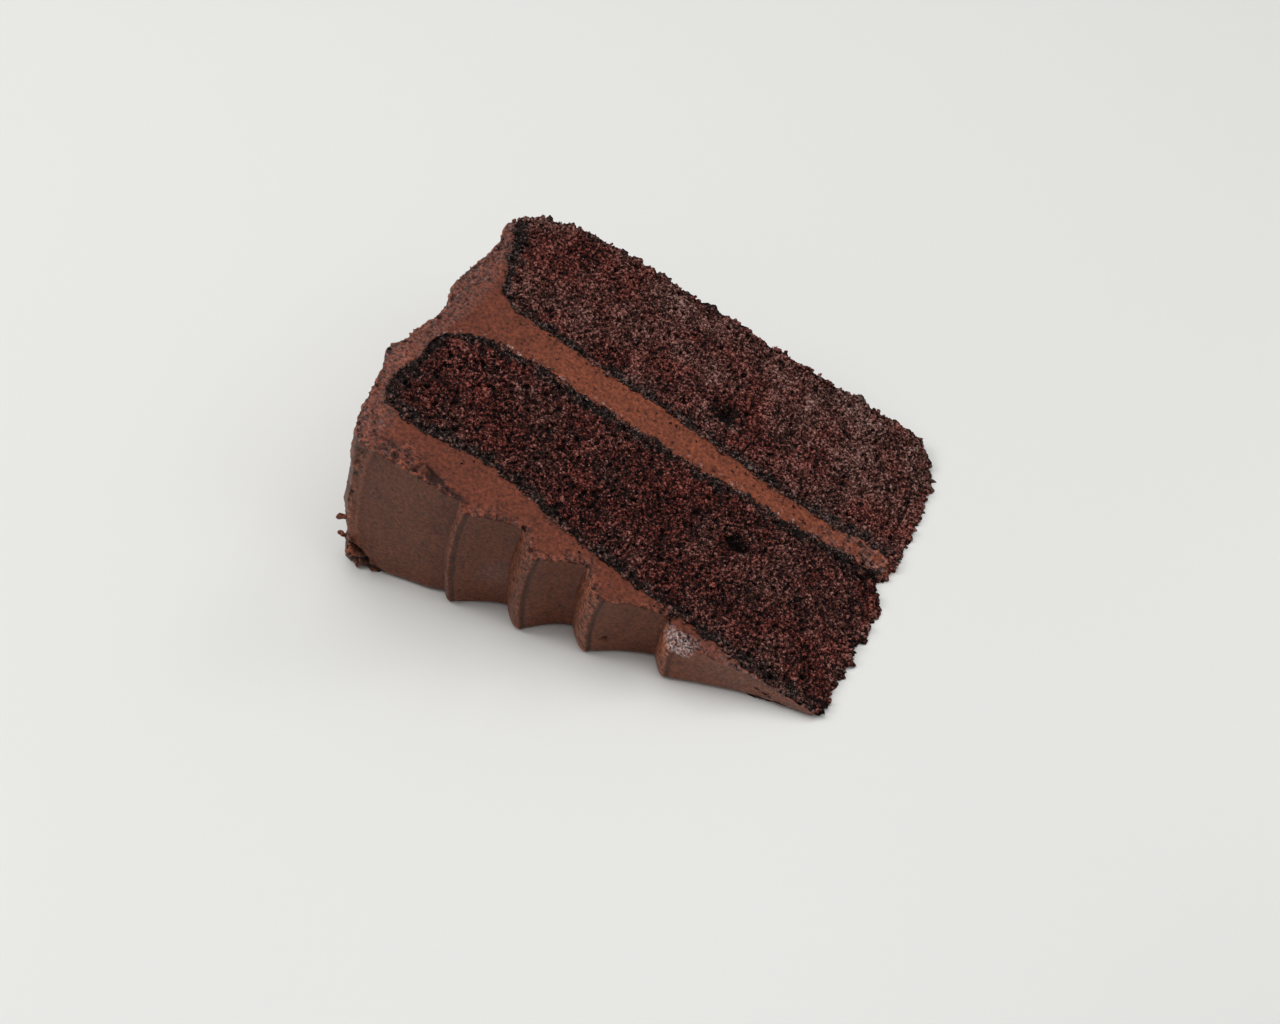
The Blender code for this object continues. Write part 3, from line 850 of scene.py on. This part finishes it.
relief[skin] += held * (RIP_LIFT * hill(rip - 1.6, 0.9) - RIP_DEPTH * hill(rip, 0.7))
cavity = np.hypot(np.hypot(skin_rho - CAVITY[0], skin_h - CAVITY[1]) * 0.7, above_floor - CAVITY[2])
relief[skin] -= CAVITY_DEPTH * hill(cavity[skin] + 0.6 * texture, 1.3)
from_dot = np.hypot(rho - DARK_DOT[0], above_floor - DARK_DOT[1])
relief[skin] -= DOT_DEPTH * hill(from_dot[skin], 0.6)

# The flat that a touch left on the last ridge, and the lobe on the rim.
ragged_flat = rough(at, 2.0, 99)
smudge = 1 - ramp(np.abs(rho - SMUDGE_RHO) + 0.8 * ragged_flat, *SMUDGE_WIDTH)
pressed = np.clip(1 - depth_in / 5, 0, 1) * np.clip(1 - near_cut / SMUDGE_REACH, 0, 1)
rounded = SMUDGE_DEPTH * smudge * pressed ** 1.4 * (cut | skin)
patch = smudge * (1 - ramp(SMUDGE_TOP - h + 0.6 * ragged_flat, *SHINE_HEIGHT))
patch = patch * (1 - ramp(near_cut, *SHINE_REACH))
relief = relief + 0.3 * patch * rough(at, 1.0, 99)
lobe = hill(np.hypot(rho - LOBE_RHO, (h - BULGE_HEIGHT) * 0.9) + 0.8 * rough(at, 3.0, 99), 2.8)
relief += LOBE_LIFT * cut * lobe

# The relief is laid on, and the places that the material draws apart are stored.
# Painted shadow: the panel just behind each crest is drawn darker.
behind_crest = np.zeros(len(along))
for crest, _ in RING_CRESTS:
    behind_crest = np.maximum(behind_crest, hill(skin_rho - crest + 0.7, 0.4) * skin)
# Near the sponge the cut sinks, and its stored relief draws painted shade along the seam.
relief = relief * (1 - 0.7 * np.exp(-above_bed * 2)) - 0.3 * np.exp(-above_bed * 1.5) * ~skin
at = at + normals * relief[:, None] - np.array(BEVEL) * rounded[:, None]
at[:, 2] = np.where(lower, 0.0, np.maximum(at[:, 2], FLOOR_GAP))
moved(mesh, at)
# Painted shade in the dip before the first ridge.
lip = skin * ramp(LIP_BAND[1] - skin_rho, 0.0, 0.4) * ramp(skin_rho - LIP_BAND[0], 0.0, 0.3)
# Painted shade darkens the knife's grooves and chip.
# Painted shade darkens the torn corner.
shown = 0.5 + 0.5 * relief * (1 - 0.3 * torn) - TORN_DARKER * torn - SCAR_DARKER * scar
# Painted light: the skin towards the tip is drawn paler.
shown += TIP_PALER * skin * (1 - ramp(skin_rho, *TIP_LIGHTER)) - LIP_DARKER * lip
shown -= CREST_DARKER * behind_crest * (1 - on_rim) + RIM_DARKER * on_rim * skin
# The stored relief carries painted shade and painted light into the colour.
store(mesh, "relief", shown)
store(mesh, "cut", np.where(outer, 0.0, np.where(cut, 1.0, 0.9)))
# Painted shade: the outer steps are drawn nearer the darker skin colour.
lit_step = step_face * (0.45 + 0.55 * (1 - ramp(skin_rho, *STEPS_DARKER)))
store(mesh, "step", np.clip(np.maximum(lit_step, rim_rough * 0.6) + 0.4 * torn, 0, 1))
worn = np.maximum(worn * 0.9, np.maximum(step_face * STEP_WEAR, rim_rough * RIM_WEAR) * skin)
worn = np.maximum(worn, RIM_CUT_WEAR * ramp(rho, *RIM_CRUMBLED) * cut)
worn = np.maximum(worn, TIP_CUT_WEAR * (1 - ramp(rho, *TIP_CRUMBLED)) * cut)
worn = np.maximum(worn, ramp(along, 0.975, 0.99))
smoother = SPREAD_SMOOTH * on_rim * skin * (1 - rim_edge)
store(mesh, "worn", np.clip(worn + torn + 0.7 * patch - smoother, -0.4, 1))
store(mesh, "fresh", 0.0)
# Painted highlights on the shiny flat.
speckled = patch * (0.45 + 0.8 * hill(rho - 39.4, 3.0))
# Painted highlights on the worn cut.
oily_glints = OILY_CUT_GLINTS * worn * cut * (0.6 + ramp(rho, 116, 124))
# Painted highlights, with a glossy coat, towards the tip and in a patch on the skin.
glint_specks = TIP_GLINT_SHARE * (1 - ramp(rho, *TIP_GLINTS))
from_glint_patch = np.hypot((skin_rho - GLINT_PATCH[0]) * 1.3, above_floor - GLINT_PATCH[1])
glint_specks += GLINT_PATCH[3] * skin * hill(from_glint_patch, GLINT_PATCH[2])
store(mesh, "grease_and_glints", np.clip(np.maximum(speckled, oily_glints) + glint_specks, 0, 1))
mesh.shade_smooth()
crease(mesh, cut & outer & (smudge < 0.3))
mesh.materials.append(frosting_look)
frosting = as_piece("frosting_coat", mesh)
hidden = (across < ON_EDGE) & ~cut & ~lower
thin_hidden(frosting, hidden | (lower & ~outer), FROSTING_TRIANGLES)
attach(frosting, "root")
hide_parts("frosting")

# Filling.
# The same frosting, spread on the lower layer before the upper one was laid on it. The knife has
# left it nearly smooth, with small air pits, and it runs out into the rim coat without a line.
FILLING_STEPS = (460, 44, 20)
FILLING_TRIANGLES = 70000
FILLING_RAGGED = 1.2                 # unevenness of its end at the tip
FILLING_RUN = 1.2                    # runs on into the coat
RUN_START = 0.97                     # from this share of the way from tip to rim
FILLING_TIP = (8, 34)                # radii up to which the filling's cut is crumbly
FILLING_FRESH = (92, 120)            # radii over which it takes the coat's colour

mesh, along, across, turn = block(FILLING_STEPS, 1.3)
rho, h = layer_section(FILLING_UNDERSIDE, FILLING_TOP, FILLING_END, along, across)
under_rho, under_h = seam(FILLING_UNDERSIDE, along)
over_rho, over_h = seam(FILLING_TOP, along)
from_under = np.hypot(rho - under_rho, h - under_h)
from_over = np.hypot(rho - over_rho, h - over_h)
h = h + seam_wave(rho, h, turn)
rho = crumble(rho, h, turn)
rho = rho + FILLING_RUN * ramp(along, RUN_START, 1.0)
h = h + INTERLOCK * (np.exp(-from_over) - np.exp(-from_under))
rho = rho + (along < ON_EDGE) * FILLING_RAGGED * rough(stacked(h, 30 * turn, 8), 2.2)
at = placed(rho, h, turn)
moved(mesh, at)
face_outward(mesh)
cut = turn > 1 - ON_EDGE
normals = outward(mesh, cut)
relief = np.zeros(len(along))
to_seam = np.minimum(from_under, from_over)
worn = np.zeros(len(along))
near_tip = 1 - ramp(rho, *FILLING_TIP)
worn[cut] = ramp(rough(at[cut], 3.5, 15) + 0.3 * near_tip[cut], -0.1, 0.35)
worn = (0.15 + 0.85 * near_tip) * worn
relief[cut] = sliced_relief(at[cut], worn[cut])
relief = relief * (1 - 0.7 * np.exp(-to_seam * 2)) - 0.18 * np.exp(-to_seam * 1.5)
relief = relief - 0.05 * ramp(along, RUN_START, 1.0)
at = at + normals * relief[:, None]
at[:, 2] = np.where(turn < ON_EDGE, 0.0, np.maximum(at[:, 2], FLOOR_GAP))
moved(mesh, at)
# Stored relief sinks near the seams, where the material draws it darker as painted shade.
store(mesh, "relief", 0.5 + 0.7 * relief)
store(mesh, "cut", 1.0)
store(mesh, "step", 0.0)
store(mesh, "worn", 0.05 + 0.6 * worn + 0.4 * np.exp(-to_seam / 0.8))
store(mesh, "fresh", 1 - ramp(rho, *FILLING_FRESH))
# Painted highlights: tiny glints near the filling's upper seam and towards the tip, with a glossy
# coat.
drop_glints = ramp(rough(at, 1.0, 31), 0.34, 0.44) * hill(from_over, 1.5)
store(mesh, "grease_and_glints", 0.18 * near_tip * worn + drop_glints * cut)
mesh.shade_smooth()
mesh.materials.append(frosting_look)
filling = as_piece("filling_layer", mesh)
thin_hidden(filling, ~cut & (along > ON_EDGE), FILLING_TRIANGLES)
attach(filling, "root")
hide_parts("filling")

# Crumbs.
# Granules of sponge that the knife pulled out and left hanging on the torn edges, at the tip, on the
# dark line by the frosting and smeared over the filling. Each clump is a few fused granules.
CRUMB_COUNT = {"base": 170, "tip": 200, "corner": 45, "seam": 300, "face": 350, "filling": 90,
               "frosting": 50}
CRUMB_SPANS = {"base": (8, 124), "corner": (121, 127), "face": (8, 120), "filling": (5, 115),
               "frosting": (20, 115), "tip": (2, 92)}    # radii, and heights at the tip
CRUMB_SCATTER = {"base": (0.4, 0.5), "corner": (0.2, 0.4), "tip": (-0.3, 0.6),
                 "seam": (0.5, 0.5), "frosting": (0, 2.0)}    # mean and spread off their line
CRUMB_TURNS = {"base": (0.98, 1), "corner": (0.97, 1), "tip": (0.1, 1)}    # others on the cut
CRUMB_STANDS = {"corner": 0.1, "seam": -0.15, "filling": -0.1, "frosting": -0.1}    # out of it
SEAM_START = 4
TIPWARD = 1.6                        # the filling's crumbs lie closer towards the tip
CRUMB_SIZES = (0.22, 0.7)
CRUMB_SCALES = {"filling": 0.55, "frosting": 0.55, "tip": 1.25}    # others keep their size
CRUMBS_AT_ONCE = 25                  # small batches are quicker to build
draw = random.Random(7)


def crumb_clump(bm, middle, size, count):
    """A few granules run together."""
    for _ in range(count):
        offset = Vector([draw.uniform(-1, 1) for _ in range(3)]) * size * 0.9
        turned = Euler([draw.uniform(0, math.pi) for _ in range(3)])
        shape = Vector([size * draw.uniform(0.6, 1.25) for _ in range(3)])
        matrix = Matrix.LocRotScale((Vector(middle) + offset) * MM, turned, shape * MM)
        bmesh.ops.create_icosphere(bm, subdivisions=2 if size > 0.45 else 1, radius=1,
                                   matrix=matrix)


def crumb_place(kind):
    """Where one clump hangs: rho, h and turn."""
    along = draw.uniform(0, 1)
    if kind == "seam":
        line = draw.choice((FILLING_UNDERSIDE, FILLING_TOP, SPONGE_TOP_LINE))
        rho = SEAM_START + (line[-1][0] - SEAM_START) * along
        inside = -1 if line is not FILLING_TOP else 1
        return rho, float(through(line, rho)) + inside * draw.gauss(*CRUMB_SCATTER[kind]), 1
    first, last = CRUMB_SPANS[kind]
    if kind == "tip":
        h = first + (last - first) * along
        return TIP_RADIUS + draw.gauss(*CRUMB_SCATTER[kind]), h, draw.uniform(*CRUMB_TURNS[kind])
    rho = first + (last - first) * (along ** TIPWARD if kind == "filling" else along)
    if kind == "face":
        over = draw.random() < 0.5
        low, high = (FILLING_TOP, SPONGE_TOP_LINE) if over else (BASE_LINE, FILLING_UNDERSIDE)
        share = draw.uniform(0.05, 0.95)
        return rho, float(through(low, rho)) * (1 - share) + float(through(high, rho)) * share, 1
    if kind == "filling":
        h = float(through(FILLING_UNDERSIDE, rho)) + draw.uniform(0.3, 7)
        return rho, min(h, float(through(FILLING_TOP, rho)) - 0.2), 1
    off_line = draw.gauss(*CRUMB_SCATTER[kind])
    if kind == "frosting":
        h = float(through(SPONGE_TOP_LINE, rho)) + abs(off_line)
        return rho, min(h, float(swirl_height(np.array([rho]))[0]) - 0.9), 1
    return rho, float(through(BASE_LINE, rho)) + off_line, draw.uniform(*CRUMB_TURNS[kind])


def hang_crumb(bm, kind):
    """One clump in its place, clear of the floor."""
    rho, h, turn = crumb_place(kind)
    size = CRUMB_SCALES.get(kind, 1.0) * draw.uniform(*CRUMB_SIZES)
    rho, h = np.array([rho]), np.array([h])
    middle = placed(crumble(rho, h, np.array([turn])), h, turn)[0]
    out = np.array((math.sin(SLICE_ANGLE), 0, math.cos(SLICE_ANGLE)))
    middle = middle + CRUMB_STANDS.get(kind, 0.0) * out
    middle[2] = max(middle[2], 1.2 * size)
    crumb_clump(bm, middle, size, draw.choice((1, 2, 3)))


def make_crumbs(name, kinds, crust):
    """One piece with all the clumps of a few kinds."""
    joined = bmesh.new()
    for kind in kinds:
        for first in range(0, CRUMB_COUNT[kind], CRUMBS_AT_ONCE):
            bm = bmesh.new()
            for _ in range(first, min(first + CRUMBS_AT_ONCE, CRUMB_COUNT[kind])):
                hang_crumb(bm, kind)
            few = bpy.data.meshes.new("few crumbs")
            bm.to_mesh(few)
            bm.free()
            joined.from_mesh(few)
            bpy.data.meshes.remove(few)
    mesh = bpy.data.meshes.new(name)
    joined.to_mesh(mesh)
    joined.free()
    at = points_of(mesh) / MM
    at = at + 0.3 * bends(at, 0.7)
    at[:, 2] = np.maximum(at[:, 2], FLOOR_GAP)
    moved(mesh, at)
    store(mesh, "relief", 0.62)
    store(mesh, "granule", rough(at, 3.0, 5))
    store(mesh, "crust", crust)
    # Painted sheen on the crumbs.
    store(mesh, "painted_sheen", 0.3)
    mesh.shade_smooth()
    mesh.materials.append(sponge_skin)
    piece = as_piece(name, mesh)
    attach(piece, "root")


make_crumbs("edge_crumbs", ("base", "tip", "corner", "face"), crust=0.15)
make_crumbs("seam_crumbs", ("seam", "filling", "frosting"), crust=0.6)

# Frosting scraps.
# Two bits of frosting that the spatula pulled out of the corner between the top and the rim, by the
# torn place. Each is a stretched, bent lump.
SCRAPS = ((0.17, 1.4), (0.32, 1.9))    # turn, length
SCRAP_RHO = 127.3
SCRAP_H = 92.4
SCRAP_SHAPE = (0.38, 0.38, 0.75)       # of its length


def scrap(bm, turn, length):
    """One scrap, which points out of the rim."""
    angle = SLICE_ANGLE * turn
    lean = draw.uniform(-0.5, 0.1)
    out = Vector((-math.cos(angle), lean, math.sin(angle) + draw.uniform(-0.2, 0.2)))
    foot_rho = SCRAP_RHO - RIM_FLATNESS * math.sin(math.pi * turn)
    foot = Vector(placed(np.array([foot_rho]), np.array([SCRAP_H]), np.array([turn]))[0])
    middle = foot + out * length * 0.4
    shape = Vector(SCRAP_SHAPE) * length
    matrix = Matrix.LocRotScale(middle * MM, out.to_track_quat("Z", "Y"), shape * MM)
    bmesh.ops.create_icosphere(bm, subdivisions=3, radius=1, matrix=matrix)


bm = bmesh.new()
for turn, length in SCRAPS:
    scrap(bm, turn, length)
mesh = bpy.data.meshes.new("scraps")
bm.to_mesh(mesh)
bm.free()
at = points_of(mesh) / MM
at = at + 0.5 * bends(at, 1.0)
moved(mesh, at)
look = {"relief": 0.5, "cut": 0.3, "step": 0.6, "worn": 0.8, "fresh": 0.0, "grease_and_glints": 0.0}
for name, value in look.items():
    store(mesh, name, value)
mesh.shade_smooth()
mesh.materials.append(frosting_look)
scraps = as_piece("frosting_scraps", mesh)
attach(scraps, "root")

# Floor, light and camera.
# A pale, faintly glossy surface under large soft lights, seen from above and to the right.
FLOOR_SIZE = 6
FLOOR_COLOUR = "#e6e6e3"
FLOOR_ROUGHNESS = 0.38
AIM = Vector((-0.00034, -0.00209, 0))
AZIMUTH = math.radians(23.4)
ELEVATION = math.radians(48.22)
DISTANCE = 0.4472
LENS = 50
FILM_WIDTH = 36
ROOM_LIGHT = 0.27
LAMPS = (("left softbox", (-0.85, -0.1, 0.75), 0.5, 4.3),
         ("right softbox", (0.85, -0.1, 0.95), 0.6, 1.7),
         ("top softbox", (-0.1, 0.15, 1.1), 0.9, 5.9),
         ("back softbox", (0.33, 0.62, 0.73), 0.3, 0.9))    # place, side in metres, watts

bpy.ops.mesh.primitive_plane_add(size=FLOOR_SIZE)
floor = bpy.context.object
floor.name = "floor"
material, tree, shader = new_material("pale surface")
shader.inputs["Base Color"].default_value = linear(FLOOR_COLOUR)
shader.inputs["Roughness"].default_value = FLOOR_ROUGHNESS
floor.data.materials.append(material)

camera_data = bpy.data.cameras.new("camera")
camera_data.lens = LENS
camera_data.sensor_width = FILM_WIDTH
camera_data.clip_start = 0.01
camera = bpy.data.objects.new("camera", camera_data)
bpy.context.scene.collection.objects.link(camera)
towards = Vector((math.sin(AZIMUTH) * math.cos(ELEVATION),
                  -math.cos(AZIMUTH) * math.cos(ELEVATION), math.sin(ELEVATION)))
camera.location = AIM + towards * DISTANCE
camera.rotation_euler = (-towards).to_track_quat("-Z", "Y").to_euler()
bpy.context.scene.camera = camera

for name, place, side, power in LAMPS:
    light = bpy.data.lights.new(name, "AREA")
    light.shape = "SQUARE"
    light.size = side
    light.energy = power
    lamp = bpy.data.objects.new(name, light)
    bpy.context.scene.collection.objects.link(lamp)
    lamp.location = place
    lamp.rotation_euler = (-Vector(place)).to_track_quat("-Z", "Y").to_euler()

world = bpy.data.worlds.new("room")
world.use_nodes = True
world.node_tree.nodes["Background"].inputs["Color"].default_value = (1, 1, 1, 1)
world.node_tree.nodes["Background"].inputs["Strength"].default_value = ROOM_LIGHT
bpy.context.scene.world = world
bpy.context.scene.view_settings.view_transform = "Standard"
